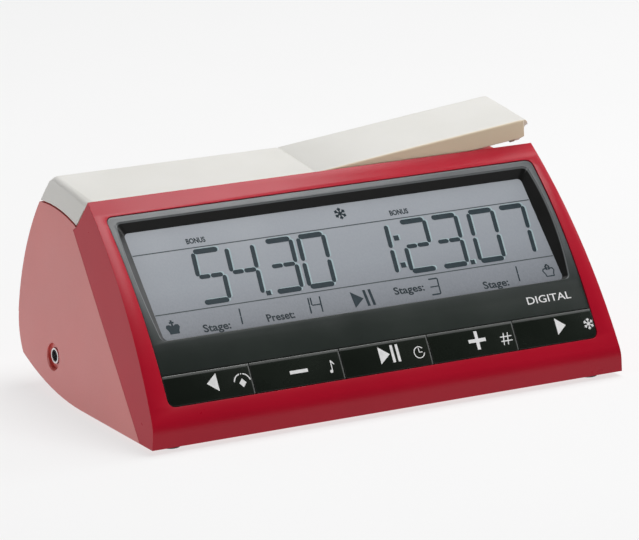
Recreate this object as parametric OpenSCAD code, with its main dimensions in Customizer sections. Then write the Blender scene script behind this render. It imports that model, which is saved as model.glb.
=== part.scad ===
// Digital chess clock: a wedge housing with a rocking lever along its top,
// a wide display, five front buttons, and batteries behind a door underneath.
// Side outline points are [depth, height] from the bottom front edge of the housing.

/* [Housing] */
// Length across the two ends at the base
body_w = 220; // [212:1:228]
// How far each end leans inwards for each millimetre of height
end_lean = 0.0613; // [0.04:0.001:0.07]
// Wall thickness of the moulded shells
wall = 2.4; // [2:0.1:2.6]
// Height of the rubber feet below the housing
foot_h = 2; // [1.5:0.1:2.5]
// Radius of the gently curved front face
face_r = 230; // [228:1:232]

/* [Display and buttons] */
// Width of the opening in the front frame
opening_w = 201; // [199:0.5:202]
// Angle of the display from horizontal
lcd_tilt = 46.4; // [46:0.1:47]
// Half the width of the visible display
lcd_half = 93.6; // [92:0.1:94]
// Spacing of the five buttons
button_pitch = 41.1; // [40.9:0.1:41.1]
// Gap round each button
button_gap = 0.3; // [0.25:0.05:0.4]

/* [Lever] */
// Angle between the two halves of the rocking lever
lever_tilt = 6; // [5:0.5:6.5]
// Height of the lever pivot above the base of the housing
pivot_z = 80.3; // [80:0.1:80.5]
// Wall thickness of the lever
lever_wall = 2.2; // [1.8:0.1:2.4]

/* [Batteries] */
// Diameter of one AA cell
cell_d = 14.4; // [13.5:0.1:14.5]
// Length of one AA cell without its button end
cell_l = 49.5; // [48:0.5:50]

/* [Hidden] */
$fn = 96;

// Centre of the circle through three points.
function circle_centre(a, b, c) =
    let (d = 2 * (a.x * (b.y - c.y) + b.x * (c.y - a.y) + c.x * (a.y - b.y)),
         qa = a * a,
         qb = b * b,
         qc = c * c)
    [(qa * (b.y - c.y) + qb * (c.y - a.y) + qc * (a.y - b.y)) / d,
     (qa * (c.x - b.x) + qb * (a.x - c.x) + qc * (b.x - a.x)) / d];

// Front face: one arc of radius face_r from the toe up to the crest.
crest = [63.2, 84.8];
toe = [0, 8];
face_mid = (crest + toe) / 2;
face_dir = (crest - toe) / norm(crest - toe);
face_in = [face_dir.y, -face_dir.x];
face_c = face_mid + face_in * sqrt(pow(face_r, 2) - pow(norm(crest - toe) / 2, 2));
crest_a = atan2(crest.y - face_c.y, crest.x - face_c.x);
// Angle and place of the point that lies s millimetres down the face from the crest.
function face_a(s) = crest_a + s / face_r * 180 / PI;
function face_at(s) = face_c + face_r * [cos(face_a(s)), sin(face_a(s))];
// The face rolls into the upright bottom edge on this radius.
toe_r = 12;
toe_c = [toe_r, face_c.y + sqrt(pow(face_r - toe_r, 2) - pow(toe_r - face_c.x, 2))];
toe_a = atan2(toe_c.y - face_c.y, toe_c.x - face_c.x);
function toe_at(inset, a) = toe_c + (toe_r - inset) * [cos(a), sin(a)];

// Rear face, and the joint between the lever and the housing.
back_top = [105.7, 77.2];
back_mid = [117.7, 52.8];
back_low = [121.6, 31.6];
back_c = circle_centre(back_top, back_mid, back_low);
back_r = norm(back_top - back_c);
body_d = back_c.x + back_r;
seam_front = [72.6, 72.8];
seam_mid = [87.3, 76.2];
seam_back = [104.7, 76.6];
seam_c = circle_centre(seam_front, seam_mid, seam_back);
seam_r = norm(seam_mid - seam_c);

// Underside: flat, then curving up to the rear.
under_y = 62;
under_r = 140;
corner_c = [95, 27];
corner_r = 26.5;
function under_z(y) = y < under_y ? 0 : under_r - sqrt(pow(under_r, 2) - pow(y - under_y, 2));

// The front frame reaches back to this sloping line on the ends.
band_low = [10.7, 0];
band_top = [75.2, 71.4];
ledge_z = 76;
crest_back_y = 63.6;
lever_slot_half = 102.9;

// Places down the front face, from the crest.
opening_top = 7.8;
opening_bottom = 92.4;
button_s = 85.9;
open_hi = face_at(opening_top);
open_lo = face_at(opening_bottom);
open_mid = (open_hi + open_lo) / 2;
open_h = norm(open_hi - open_lo);
open_a = atan2(open_hi.y - open_lo.y, open_hi.x - open_lo.x);
button_a = face_a(button_s) - 90;
button_c = face_at(button_s);
button_half = 6.3;

// Display plane: origin on the lower ruled line of the display.
lcd_at = [28.28, 45.28];
lcd_low = -13.5;
lcd_high = 40.5;
lcd_edge = 96.5;
lcd_thick = 2.2;
seen_low = -11.4;
seen_high = 37.9;
board_front = -5.4;
board_t = 1.6;
post_x = [-92, 0, 92];
post_t = [-15.8, 42.6];

// Lever section.
lever_front = 64;
lever_top_front = 84.9;
lever_top_back = [98.6, 89.6];
lever_skirt = 77;
lever_slope = atan2(lever_top_back.y - lever_top_front, lever_top_back.x - lever_front);
function lever_top_z(y) = lever_top_front + (y - lever_front) * tan(lever_slope);
lever_round = 2.2;
hub_gap = 1.5;
lever_end = 104.5;
lever_gap = 0.5;
magnet_x = 90;
magnet_y = 90;

// Battery bay and the parts on the base.
door_half = 33;
door_y = [34, 68];
hinge_y = 66.2;
hinge_z = 1.3;
cell_y = [43.7, 58.3];
cell_z = 10.4;
tray_wall = 1.6;
tray_side = 1.1;
power_at = [75, 45];
buzzer_at = [-70, 60];
jack_y = 88.6;
jack_z = 16;
screw_x = 98.5;
screw_y = [40, 101];
foot_x = 98;
foot_y = [8, 86];
foot_r = 4.5;

module in_row() {
    translate([0, -body_d / 2, foot_h])
        children();
}

// A [depth, height] outline drawn out along the length of the clock.
module along_x(x0, x1) {
    translate([x0, 0, 0])
        rotate([90, 0, 90])
            linear_extrude(x1 - x0)
                children();
}

function half_at(z, inset) = body_w / 2 - inset - end_lean * z;

// Everything between the two leaning ends.
module between_ends(inset) {
    translate([0, 150, 0])
        rotate([90, 0, 0])
            linear_extrude(200)
                polygon([[-half_at(-10, inset), -10], [half_at(-10, inset), -10],
                         [half_at(105, inset), 105], [-half_at(105, inset), 105]]);
}

// Side outline of the housing and lever together, drawn in by inset.
module body_outline(inset) {
    intersection() {
        translate(face_c) circle(face_r - inset, $fn = 240);
        translate(back_c) circle(back_r - inset, $fn = 240);
        translate([inset, inset]) square([130, 100]);
        polygon(concat([[200, 150], [-20, 150], [-20, 20]],
                       [for (i = [0:8]) toe_at(inset, toe_a + (180 - toe_a) * i / 8)],
                       [[-20, 0], [-20, -20], [200, -20]]));
        union() {
            translate([under_y, under_r]) circle(under_r - inset, $fn = 240);
            translate([-1, inset]) square([under_y + 1, 110]);
        }
        union() {
            translate(corner_c) circle(corner_r - inset);
            square([corner_c.x, 110]);
            translate([0, corner_c.y]) square([130, 90]);
        }
    }
}

// The part of the outline that belongs to the front frame.
module band_outline(grow) {
    polygon([[-5, -5], [band_low.x - 4.5 + grow, -5], band_top + [grow, 0],
             seam_front + [grow, grow], [crest_back_y + grow, crest.y],
             [crest_back_y + grow, 95], [-5, 95]]);
}

// Everything under the joint between the lever and the housing.
module under_seam(inset) {
    translate(seam_c) circle(seam_r - inset, $fn = 240);
    translate([-5, -5]) square([140, 65]);
}

// Points along one rounded corner.
function corner_points(x, y, r, start) =
    [for (i = [0:6]) [x + r * cos(start + 15 * i), y + r * sin(start + 15 * i)]];

module rounded_rect(w, h, r) {
    x = w / 2 - r;
    y = h / 2 - r;
    polygon(concat(corner_points(x, y, r, 0), corner_points(-x, y, r, 90),
                   corner_points(-x, -y, r, 180), corner_points(x, -y, r, 270)));
}

// Straight prism through the front opening, smaller by gap on every side.
module opening_prism(gap) {
    translate([0, open_mid.x, open_mid.y])
        rotate([open_a, 0, 0])
            translate([0, 0, -30])
                linear_extrude(60)
                    rounded_rect(opening_w - 2 * gap, open_h - 2 * gap, 3.2 - gap);
}

module on_lcd() {
    translate([0, lcd_at.x, lcd_at.y])
        rotate([lcd_tilt, 0, 0])
            children();
}

// A block in display coordinates: half width, low and high along the tilt, back and front.
module lcd_block(half, low, high, back, front) {
    on_lcd()
        translate([-half, low, back])
            cube([2 * half, high - low, front - back]);
}

module on_button() {
    translate([0, button_c.x, button_c.y])
        rotate([button_a, 0, 0])
            children();
}

module button_block(x0, x1, low, high, back, front) {
    on_button()
        translate([x0, low, back])
            cube([x1 - x0, high - low, front - back]);
}

// Pocket in the bottom of the housing that the base cover fills.
module base_pocket() {
    intersection() {
        along_x(-120, 120)
            polygon([[wall, -5], [106, -5], [106, 13], [80, 13], [60, 4.3], [wall, 4.3]]);
        between_ends(wall);
    }
}

module front_frame() {
    color([0.72, 0.09, 0.12])
        in_row()
            difference() {
                intersection() {
                    along_x(-120, 120)
                        intersection() {
                            body_outline(0);
                            band_outline(0);
                        }
                    between_ends(0);
                }
                intersection() {
                    along_x(-120, 120)
                        intersection() {
                            body_outline(wall);
                            translate([-5, -5]) square([140, ledge_z - wall + 5]);
                        }
                    between_ends(wall);
                }
                translate([-lever_slot_half, crest_back_y, ledge_z])
                    cube([2 * lever_slot_half, 20, 20]);
                opening_prism(0);
                base_pocket();
            }
}

// Post on an end wall that takes a screw from below.
module screw_post(side, y) {
    bottom = under_z(y + 3.6) + wall + 0.4;
    difference() {
        union() {
            translate([side * screw_x, y, bottom]) cylinder(r = 3.6, h = 20);
            translate([side > 0 ? screw_x : -106.5, y - 1.5, bottom + 2])
                cube([106.5 - screw_x, 3, 18]);
        }
        translate([side * screw_x, y, bottom - 1]) cylinder(r = 1.4, h = 14, $fn = 32);
    }
}

module jack_axis(x) {
    translate([x, jack_y, jack_z])
        rotate([0, 90, 0])
            children();
}

module rear_shell() {
    color([0.78, 0.17, 0.2])
        in_row() {
            difference() {
                intersection() {
                    along_x(-120, 120)
                        difference() {
                            intersection() {
                                body_outline(0);
                                under_seam(0);
                            }
                            band_outline(0.1);
                        }
                    between_ends(0);
                }
                intersection() {
                    along_x(-120, 120)
                        intersection() {
                            body_outline(wall);
                            under_seam(wall);
                        }
                    between_ends(wall);
                }
                base_pocket();
                jack_axis(-112) cylinder(r = 5.35, h = 4.4);
                jack_axis(-112) cylinder(r = 3.4, h = 9);
                jack_axis(-110.5) cylinder(r1 = 7.2, r2 = 5.3, h = 1.9);
            }
            for (side = [-1, 1], y = screw_y)
                screw_post(side, y);
            for (y = [79, 89])
                difference() {
                    translate([-4, y, 73.2]) cube([8, 3, 9.4]);
                    translate([0, y - 1, pivot_z])
                        rotate([-90, 0, 0])
                            cylinder(r = 1.5, h = 5, $fn = 32);
                }
        }
}

module base_cover() {
    color([0.62, 0.08, 0.1])
        in_row()
            difference() {
                union() {
                    intersection() {
                        along_x(-120, 120)
                            intersection() {
                                difference() {
                                    body_outline(0);
                                    body_outline(wall);
                                }
                                polygon([[wall + 0.3, -1], [105.7, -1], [105.7, 14],
                                         [80, 14], [60, 4], [wall + 0.3, 4]]);
                            }
                        between_ends(wall + 0.3);
                    }
                    // Ears that hold the door's pivot stubs.
                    for (side = [-1, 1])
                        translate([side * (door_half + 2.4) - 2, hinge_y - 2.5, 0.6])
                            cube([4, 5, 3]);
                    for (dx = [-12, 12])
                        translate([power_at.x + dx, power_at.y, 1]) cylinder(r = 2.4, h = 7);
                    for (dy = [-6, 6])
                        translate([-90.5, jack_y + dy, under_z(jack_y + dy) + 1.4])
                            cylinder(r = 2.2, h = 7.7 - under_z(jack_y + dy));
                }
                translate([-door_half, door_y[0], -1])
                    cube([2 * door_half, door_y[1] - door_y[0], 6]);
                for (side = [-1, 1])
                    translate([side * (door_half + 2) - 3.5, hinge_y, hinge_z])
                        rotate([0, 90, 0])
                            cylinder(r = 0.8, h = 7, $fn = 32);
                for (side = [-1, 1], y = screw_y) {
                    translate([side * screw_x, y, -1]) cylinder(r = 1.8, h = 12, $fn = 32);
                    translate([side * screw_x, y, -1])
                        cylinder(r = 3.3, h = under_z(y) + 2.2, $fn = 48);
                }
                for (side = [-1, 1], y = foot_y)
                    translate([side * foot_x, y, -2])
                        cylinder(r = foot_r, h = under_z(y) + 2.8);
                translate([power_at.x, power_at.y, -1]) cylinder(r = 5.3, h = 5);
                for (a = [0:60:300])
                    translate([buzzer_at.x + 4 * cos(a), buzzer_at.y + 4 * sin(a), -1])
                        cylinder(r = 0.8, h = 5, $fn = 24);
            }
}

module display_bezel() {
    color([0.12, 0.15, 0.14])
        in_row()
            difference() {
                union() {
                    intersection() {
                        opening_prism(0.3);
                        along_x(-101, 101)
                            difference() {
                                translate(face_c) circle(face_r - 0.35, $fn = 240);
                                intersection() {
                                    translate(face_c) circle(face_r - 2.8, $fn = 240);
                                    translate(lcd_at)
                                        rotate(lcd_tilt)
                                            translate([-100, -200])
                                                square([300, 200.05]);
                                }
                            }
                    }
                    // Flange behind the edge of the front frame.
                    intersection() {
                        along_x(-101.6, 101.6)
                            difference() {
                                translate(face_c) circle(face_r - wall - 0.3, $fn = 240);
                                translate(face_c) circle(face_r - wall - 1.6, $fn = 240);
                            }
                        lcd_block(101.6, -24, 38, -6, 12);
                    }
                    for (x = post_x, t = post_t)
                        on_lcd()
                            translate([x, t, board_front + 0.05])
                                cylinder(r = 1.9, h = t > 0 ? 6.5 : 5.6, $fn = 48);
                }
                // Bevelled recess down to the display.
                hull() {
                    on_lcd()
                        translate([0, (seen_low + seen_high) / 2, 0])
                            linear_extrude(0.1)
                                rounded_rect(2 * lcd_half, seen_high - seen_low, 2);
                    on_lcd()
                        translate([0, (seen_low + seen_high) / 2 + 5, 12])
                            linear_extrude(0.1)
                                rounded_rect(2 * lcd_half + 29, seen_high - seen_low + 24, 3);
                }
                lcd_block(lcd_edge + 0.2, lcd_low - 0.2, lcd_high + 0.2, -6, 0.05);
                button_block(-110, 110, -30, button_half + 0.4, -20, 10);
                for (x = post_x, t = post_t)
                    on_lcd()
                        translate([x, t, board_front - 1])
                            cylinder(r = 1, h = 5, $fn = 32);
            }
}

module lcd_glass() {
    color([0.62, 0.66, 0.66])
        in_row()
            lcd_block(lcd_edge, lcd_low, lcd_high, -lcd_thick, 0);
}

module lcd_reflector() {
    color([0.75, 0.76, 0.74])
        in_row()
            lcd_block(lcd_edge - 1, lcd_low + 1, lcd_high - 1, -lcd_thick - 0.35, -lcd_thick);
}

module strip_slots(gap) {
    for (t = [lcd_low + 2, lcd_high - 4.6])
        lcd_block(80 - gap, t + gap, t + 2.6 - gap, board_front, -lcd_thick - 0.4);
}

module lcd_holder() {
    color([0.9, 0.9, 0.87])
        in_row()
            difference() {
                lcd_block(lcd_edge, lcd_low, lcd_high, board_front, -lcd_thick - 0.4);
                lcd_block(88, lcd_low + 7, lcd_high - 7, board_front - 1, 0);
                strip_slots(0);
            }
}

module contact_strips() {
    color([0.85, 0.5, 0.55])
        in_row()
            strip_slots(0.1);
}

module main_board() {
    color([0.1, 0.4, 0.2])
        in_row()
            difference() {
                lcd_block(95.5, -18, 45, board_front - board_t, board_front);
                for (x = post_x, t = post_t)
                    on_lcd()
                        translate([x, t, board_front - board_t - 1])
                            cylinder(r = 1.2, h = 4, $fn = 32);
            }
}

module board_components() {
    back = board_front - board_t;
    color([0.15, 0.15, 0.16])
        in_row()
            on_lcd() {
                translate([-7, 5, back - 1.6]) cube([14, 14, 1.6]);
                translate([24, 8, back - 1.2]) cube([8, 5, 1.2]);
                translate([-34, 9, back - 2.5]) cube([10, 4, 2.5]);
                for (x = [-60:12:-48])
                    translate([x, 10, back - 4]) cylinder(r = 2.5, h = 4, $fn = 32);
                for (x = [44:6:68])
                    translate([x, 12, back - 0.8]) cube([3.2, 1.6, 0.8]);
            }
}

module board_screws() {
    back = board_front - board_t;
    color("silver")
        in_row()
            for (x = post_x, t = post_t)
                on_lcd()
                    difference() {
                        union() {
                            translate([x, t, back - 1.2]) cylinder(r = 2.1, h = 1.2, $fn = 32);
                            translate([x, t, back - 0.1]) cylinder(r = 0.95, h = 4.5, $fn = 32);
                        }
                        translate([x - 1.5, t - 0.25, back - 1.3]) cube([3, 0.5, 0.6]);
                    }
}

// One front button, from the left: number 0 to 4.
module front_button(number) {
    x0 = (number - 2.5) * button_pitch + button_gap / 2;
    x1 = x0 + button_pitch - button_gap;
    mid = (max(x0, -opening_w / 2) + min(x1, opening_w / 2)) / 2;
    in_row() {
        intersection() {
            along_x(x0, x1)
                difference() {
                    translate(face_c) circle(face_r, $fn = 240);
                    translate(face_c) circle(face_r - 3.4, $fn = 240);
                }
            button_block(-110, 110, -12, button_half, -8, 4);
            opening_prism(button_gap);
        }
        button_block(mid - 5, mid + 5, -2, 2, -4.2, -3);
    }
}

module button_back() {
    color([0.06, 0.06, 0.07]) front_button(0);
}

module button_minus() {
    color([0.07, 0.07, 0.08]) front_button(1);
}

module button_play_pause() {
    color([0.06, 0.06, 0.07]) front_button(2);
}

module button_plus() {
    color([0.07, 0.07, 0.08]) front_button(3);
}

module button_forward() {
    color([0.06, 0.06, 0.07]) front_button(4);
}

module keypad_membrane() {
    color([0.4, 0.42, 0.45])
        in_row() {
            button_block(-97, 97, -6.5, 6.5, -6.4, -5.6);
            for (number = [0:4])
                on_button()
                    translate([(number - 2) * button_pitch * 0.98, 0, -5.7])
                        cylinder(r1 = 3.4, r2 = 2.4, h = 0.6, $fn = 48);
        }
}

module keypad_board() {
    color([0.1, 0.4, 0.2])
        in_row()
            button_block(-97, 97, -7, 7, -8, -6.45);
}

// Thin ribbon that joins the keypad board to the main board.
module keypad_ribbon() {
    color([0.85, 0.6, 0.2])
        in_row()
            along_x(16, 34)
                polygon([[17.6, 22], [18.1, 21.7], [22.9, 28.2], [22.4, 28.6]]);
}

module lever_outline() {
    intersection() {
        polygon([[lever_front, lever_skirt], [lever_front, lever_top_front], lever_top_back,
                 [120, 72], [seam_front.x, 72]]);
        translate(back_c) circle(back_r, $fn = 240);
    }
}

// One half of the lever in its level position, for positive X.
module lever_half() {
    difference() {
        intersection() {
            along_x(hub_gap, 120)
                difference() {
                    lever_outline();
                    translate(seam_c) circle(seam_r + lever_gap, $fn = 240);
                    translate([60, 60]) square([seam_front.x - 60, lever_skirt - 60]);
                }
            between_ends(0.3);
            // Rounded top end edge, which follows the slope of the top.
            translate([0, lever_front, lever_top_front])
                rotate([lever_slope, 0, 0])
                    translate([0, 80, 0])
                        rotate([90, 0, 0])
                            linear_extrude(100)
                                polygon(concat(corner_points(lever_end - lever_round,
                                                             -lever_round, lever_round, 0),
                                               [[lever_end - lever_round, 1], [-8, 1],
                                                [-8, -40], [125, -40], [125, -lever_round]]));
            // Rounded rear corner in plan.
            translate([0, 0, 60])
                linear_extrude(40)
                    polygon(concat(corner_points(97.4, 96.6, 8, 0),
                                   [[97.4, 125], [-8, 125], [-8, 50], [125, 50], [125, 96.6]]));
        }
        // Hollow inside.
        along_x(-8, 100)
            intersection() {
                polygon([[lever_front + lever_wall, 70],
                         [lever_front + lever_wall, lever_top_front - lever_wall],
                         [lever_top_back.x - 1, lever_top_back.y - lever_wall - 0.3],
                         [118, 70]]);
                translate(back_c) circle(back_r - lever_wall, $fn = 240);
            }
        // Clearance round the frame's ears.
        translate([lever_slot_half - 0.4, 60, 70])
            along_x(0, 10)
                polygon([[0, 0], [seam_front.x - 59.4, 0], [seam_front.x - 59.4, 3.2],
                         [crest_back_y - 59.4, 15.4], [0, 20]]);
    }
    translate([magnet_x, magnet_y, pivot_z])
        cylinder(r = 4.6, h = 7.4, $fn = 48);
}

// Outline of the hub's outer or inner face, drawn in by top, front and back.
module hub_outline(top, front, back) {
    intersection() {
        polygon([[lever_front + front, lever_skirt + 1], [lever_front + front, lever_top_front - top],
                 [lever_top_back.x, lever_top_back.y - top], [120, 72], [seam_front.x, 72]]);
        translate(back_c) circle(back_r - back, $fn = 240);
    }
}

// Strip under the crease, inside the walls of both halves, that joins them.
module lever_hub() {
    along_x(-5, 5)
        difference() {
            hub_outline(0.2, 0.2, 0.2);
            hub_outline(1.6, 1.6, 1.2);
            translate(seam_c) circle(seam_r + 1.6, $fn = 240);
            translate([60, 60]) square([seam_front.x - 60, lever_skirt - 60]);
        }
}

module lever_placed() {
    mirror([1, 0, 0]) children();
    translate([0, 0, pivot_z])
        rotate([0, -lever_tilt, 0])
            translate([0, 0, -pivot_z])
                children();
}

module rocker_lever() {
    color([0.93, 0.91, 0.86])
        in_row()
            difference() {
                union() {
                    lever_placed() lever_half();
                    lever_hub();
                    for (y = [74.6, 93.4])
                        translate([-5, y, 78]) cube([10, 3, lever_top_z(y) - 0.9 - 78]);
                }
                translate([0, 70, pivot_z])
                    rotate([-90, 0, 0])
                        cylinder(r = 1.55, h = 31, $fn = 32);
            }
}

module lever_magnets() {
    color("silver")
        in_row()
            lever_placed()
                translate([magnet_x, magnet_y, pivot_z - 2.1])
                    cylinder(r = 4, h = 2, $fn = 48);
}

module pivot_pin() {
    color("silver")
        in_row()
            translate([0, 74, pivot_z])
                rotate([-90, 0, 0])
                    cylinder(r = 1.48, h = 23.6, $fn = 48);
}

module stop_plates() {
    color([0.6, 0.62, 0.64])
        in_row()
            for (side = [-1, 1])
                translate([side * magnet_x, magnet_y, 72]) cylinder(r = 5, h = 1.1, $fn = 48);
}

module lever_sensors() {
    color([0.55, 0.75, 0.7])
        in_row()
            for (side = [-1, 1])
                translate([side * 74 - 7, magnet_y, 70.4])
                    rotate([0, 90, 0])
                        cylinder(r = 1.2, h = 14, $fn = 32);
}

module sensor_board() {
    color([0.1, 0.4, 0.2])
        in_row()
            translate([-84, magnet_y - 6, 67.5]) cube([168, 12, 1.6]);
}

module battery_tray() {
    color([0.2, 0.2, 0.21])
        in_row()
            difference() {
                translate([-31.5, 35.2, 3.7]) cube([63, 31.6, 16.2]);
                translate([-31.5 + tray_wall, 35.2 + tray_side, 3])
                    cube([63 - 2 * tray_wall, 31.6 - 2 * tray_side, 15.3]);
            }
}

module battery_cells() {
    color([0.35, 0.37, 0.4])
        in_row()
            for (i = [0, 1])
                translate([0, cell_y[i], cell_z])
                    rotate([0, i == 0 ? 90 : -90, 0]) {
                        translate([0, 0, -cell_l / 2 - 1]) cylinder(d = cell_d, h = cell_l);
                        translate([0, 0, cell_l / 2 - 1]) cylinder(r = 2.7, h = 1, $fn = 48);
                    }
}

module battery_contacts() {
    color("silver")
        in_row()
            for (i = [0, 1])
                translate([0, cell_y[i], cell_z])
                    rotate([0, i == 0 ? 90 : -90, 0]) {
                        translate([-5, -6, 28.6]) cube([10, 12, 0.6]);
                        translate([0, 0, 25]) cylinder(r = 2, h = 3.7, $fn = 32);
                        translate([-5, -6, -29.4]) cube([10, 12, 0.6]);
                        translate([0, 0, -28.9]) cylinder(r1 = 5, r2 = 3.4, h = 2.8, $fn = 48);
                    }
}

module battery_door() {
    color([0.6, 0.08, 0.1])
        in_row() {
            difference() {
                union() {
                    intersection() {
                        along_x(-door_half + 0.35, door_half - 0.35)
                            intersection() {
                                body_outline(0);
                                translate([door_y[0] + 0.35, 0.1])
                                    square([hinge_y - door_y[0] - 0.35, 2.2]);
                            }
                        between_ends(0);
                    }
                    translate([-door_half + 0.35, hinge_y, hinge_z])
                        rotate([0, 90, 0])
                            cylinder(r = 1.15, h = 2 * door_half - 0.7, $fn = 48);
                    translate([-7, door_y[0] + 0.8, 2]) cube([14, 1.4, 1.3]);
                }
                for (i = [0:3])
                    translate([-8, door_y[0] + 4 + 2 * i, -0.2]) cube([16, 0.9, 0.8]);
            }
            translate([-door_half - 3.6, hinge_y, hinge_z])
                rotate([0, 90, 0])
                    cylinder(r = 0.75, h = 2 * door_half + 7.2, $fn = 32);
        }
}

module power_button() {
    color([0.1, 0.1, 0.11])
        in_row()
            translate([power_at.x, power_at.y, 0]) {
                translate([0, 0, 0.3]) cylinder(r = 5, h = 3.2);
                translate([0, 0, 2.75]) cylinder(r = 6.2, h = 0.75);
            }
}

module power_switch() {
    color([0.15, 0.15, 0.16])
        in_row()
            translate([power_at.x, power_at.y, 0]) {
                translate([-3, -3, 5.6]) cube([6, 6, 2.4]);
                translate([0, 0, 4.9]) cylinder(r = 1.7, h = 1, $fn = 32);
            }
}

module power_board() {
    color([0.1, 0.4, 0.2])
        in_row()
            translate([power_at.x - 16, power_at.y - 6, 8]) cube([32, 12, 1.6]);
}

module buzzer() {
    color([0.12, 0.12, 0.13])
        in_row()
            difference() {
                translate([buzzer_at.x, buzzer_at.y, wall + 0.25]) cylinder(r = 9, h = 5);
                translate([buzzer_at.x, buzzer_at.y, wall - 1]) cylinder(r = 6, h = 4);
            }
}

module jack_socket() {
    color([0.08, 0.08, 0.09])
        in_row()
            difference() {
                translate([-106.3, jack_y - 5.5, jack_z - 5]) cube([14, 11, 10]);
                jack_axis(-107) cylinder(r = 1.8, h = 12.7, $fn = 48);
            }
}

module jack_ring() {
    color("silver")
        in_row()
            difference() {
                jack_axis(-108.3) cylinder(r = 3.2, h = 1.95, $fn = 48);
                jack_axis(-109) cylinder(r = 2.5, h = 4, $fn = 48);
            }
}

module jack_board() {
    color([0.1, 0.4, 0.2])
        in_row()
            translate([-106, jack_y - 9, 9.2]) cube([20, 17.2, 1.6]);
}

module housing_screws() {
    color("silver")
        in_row()
            for (side = [-1, 1], y = screw_y)
                translate([side * screw_x, y, under_z(y)])
                    difference() {
                        union() {
                            translate([0, 0, 0.1]) cylinder(r = 3, h = 1.05, $fn = 48);
                            translate([0, 0, 1]) cylinder(r = 1.35, h = 11, $fn = 32);
                        }
                        translate([-2, -0.3, 0]) cube([4, 0.6, 0.6]);
                        translate([-0.3, -2, 0]) cube([0.6, 4, 0.6]);
                    }
}

module rubber_feet() {
    color([0.1, 0.1, 0.1])
        in_row()
            for (side = [-1, 1], y = foot_y)
                translate([side * foot_x, y, -foot_h]) {
                    translate([0, 0, 0.5])
                        cylinder(r = foot_r - 0.1, h = foot_h + under_z(y) + 0.25);
                    cylinder(r1 = foot_r - 0.6, r2 = foot_r - 0.1, h = 0.5);
                }
}

front_frame();
rear_shell();
base_cover();
display_bezel();
lcd_glass();
lcd_reflector();
lcd_holder();
contact_strips();
main_board();
board_components();
board_screws();
button_back();
button_minus();
button_play_pause();
button_plus();
button_forward();
keypad_membrane();
keypad_board();
keypad_ribbon();
rocker_lever();
lever_magnets();
pivot_pin();
stop_plates();
lever_sensors();
sensor_board();
battery_tray();
battery_cells();
battery_contacts();
battery_door();
power_button();
power_switch();
power_board();
buzzer();
jack_socket();
jack_ring();
jack_board();
housing_screws();
rubber_feet();
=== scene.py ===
"""Looks of a digital chess clock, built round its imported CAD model. Lengths named in millimetres are
turned into metres where a mesh is made. Side positions are (y, z) from the housing's bottom front edge."""
import math

import bmesh
import bpy
from mathutils import Matrix, Vector
from mathutils.geometry import tessellate_polygon


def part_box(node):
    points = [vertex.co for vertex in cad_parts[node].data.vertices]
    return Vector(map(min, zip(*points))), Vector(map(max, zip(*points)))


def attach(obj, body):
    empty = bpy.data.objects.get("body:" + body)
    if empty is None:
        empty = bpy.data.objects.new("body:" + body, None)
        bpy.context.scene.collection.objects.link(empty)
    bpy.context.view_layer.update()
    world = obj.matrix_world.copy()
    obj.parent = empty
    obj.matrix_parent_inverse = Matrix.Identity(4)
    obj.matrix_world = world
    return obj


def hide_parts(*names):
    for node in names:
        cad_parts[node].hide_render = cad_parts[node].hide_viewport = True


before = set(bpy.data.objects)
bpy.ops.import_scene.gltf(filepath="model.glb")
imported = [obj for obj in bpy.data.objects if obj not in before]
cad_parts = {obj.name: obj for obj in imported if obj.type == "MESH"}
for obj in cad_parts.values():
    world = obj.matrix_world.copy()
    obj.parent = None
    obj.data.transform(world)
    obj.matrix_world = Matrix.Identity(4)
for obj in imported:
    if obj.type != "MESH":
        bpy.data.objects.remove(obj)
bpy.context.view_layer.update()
MM = 0.001
FRONT_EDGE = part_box("front_frame")[0]  # lowest front corner of the housing

# ---------------------------------------------------------------- places on the clock, millimetres
FACE_R = 230.0
CREST = Vector((63.2, 84.8))
TOE = Vector((0.0, 8.0))
LCD_AT = Vector((28.28, 45.28))
LCD_TILT = math.radians(46.4)
PIVOT_Z = 80.3
LEVER_TILT = math.radians(6)
BUTTON_PITCH = 41.1
END_LEAN = 0.0613
HALF_W = 110.0
PANEL_TOP = FACE_R - 0.35  # radius of the panel's outer face
KEY_HIGHLIGHT_END = 80.9  # the painted highlight line along the keys ends this far down the face
TOP_HIGHLIGHT_END, TOP_HIGHLIGHT_FULL = 70.0, 45.0  # the painted highlight on the panel's upper border fades in between these places down the face


def row(x, y, z):
    """A point of the side section, in millimetres, as a point of the row frame in metres."""
    return Vector((x * MM, FRONT_EDGE.y + y * MM, FRONT_EDGE.z + z * MM))


def face_centre():
    half = (CREST - TOE).length / 2
    along = (CREST - TOE).normalized()
    inward = Vector((along.y, -along.x))
    return (CREST + TOE) / 2 + inward * math.sqrt(FACE_R ** 2 - half ** 2)


FACE_C = face_centre()
CREST_ANGLE = math.atan2(CREST.y - FACE_C.y, CREST.x - FACE_C.x)


def on_face(x, s, lift=0.0):
    """The point x across and s down the curved front from its crest, lift above the surface."""
    angle = CREST_ANGLE + s / FACE_R
    r = FACE_R + lift
    return row(x, FACE_C.x + r * math.cos(angle), FACE_C.y + r * math.sin(angle))


def on_lcd(x, t, lift=0.0):
    """The point x across and t up the display from its lower ruled line."""
    c, s = math.cos(LCD_TILT), math.sin(LCD_TILT)
    return row(x, LCD_AT.x + t * c - lift * s, LCD_AT.y + t * s + lift * c)


# ---------------------------------------------------------------- materials
def new_material(name):
    material = bpy.data.materials.new(name)
    material.use_nodes = True
    nodes = material.node_tree.nodes
    nodes.clear()
    out = nodes.new("ShaderNodeOutputMaterial")
    shader = nodes.new("ShaderNodeBsdfPrincipled")
    material.node_tree.links.new(shader.outputs[0], out.inputs[0])
    return material, shader


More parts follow.
